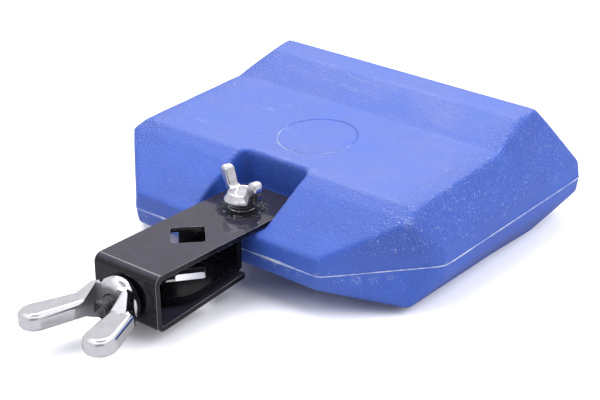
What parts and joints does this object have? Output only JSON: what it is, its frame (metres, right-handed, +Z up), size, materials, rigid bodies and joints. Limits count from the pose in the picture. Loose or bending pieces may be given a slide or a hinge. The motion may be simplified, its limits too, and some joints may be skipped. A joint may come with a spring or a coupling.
{
  "type": "percussion block",
  "caption": "Hollow faceted plastic percussion block in two half shells, held in a folded steel bracket that clamps on a rod by a wing nut and a sliding jaw.",
  "frame": {"origin": "centre of the underside of the whole object's box, on the surface that the block rests on", "axes": "+Y from the wing nut through the bracket to the block's far face, +Z up, +X across the block"},
  "size_m": [0.149, 0.2134, 0.0503],
  "materials": {
    "block_plastic": "fine moulded grain, satin blue",
    "bracket_paint": "gloss black paint",
    "bolt_steel": "dark machine thread",
    "hardware_chrome": "bright chrome over a die casting",
    "washer_steel": "zinc plated",
    "insert_brass": "machined"
  },
  "bodies": {
    "block": {"upper_shell": "block_plastic", "lower_shell": "block_plastic", "threaded_insert": "insert_brass", "mounting_bracket": "bracket_paint"},
    "clamp": {"clamp_jaw": "bracket_paint", "clamp_bolt": "bolt_steel"},
    "wing_nut": {"wing_nut": "hardware_chrome"},
    "screw_washers": {"flat_washer": "washer_steel", "lock_washer": "washer_steel"},
    "wing_bolt": {"wing_bolt": "hardware_chrome"}
  },
  "joints": [
    {"name": "wing_nut_turn", "type": "hinge", "parent": "block", "child": "wing_nut", "pos_m": [0, -0.0735, 0.01505], "axis": [0, 1, 0], "range_deg": [0, 1710]},
    {"name": "clamp_slide", "type": "slide", "parent": "block", "child": "clamp", "axis": [0, -1, 0], "range_m": [0, 0.006]},
    {"name": "screw_lift", "type": "slide", "parent": "block", "child": "screw_washers", "axis": [0, 0, 1], "range_m": [0, 0.0091]},
    {"name": "wing_bolt_turn", "type": "hinge", "parent": "screw_washers", "child": "wing_bolt", "pos_m": [0, -0.01315, 0.0291], "axis": [0, 0, 1], "range_deg": [0, 3240]}
  ],
  "couplings": [
    {"joint": "clamp_slide", "follows": "wing_nut_turn", "m_per_rad": 0.00019894},
    {"joint": "screw_lift", "follows": "wing_bolt_turn", "m_per_rad": 0.00015915}
  ]
}
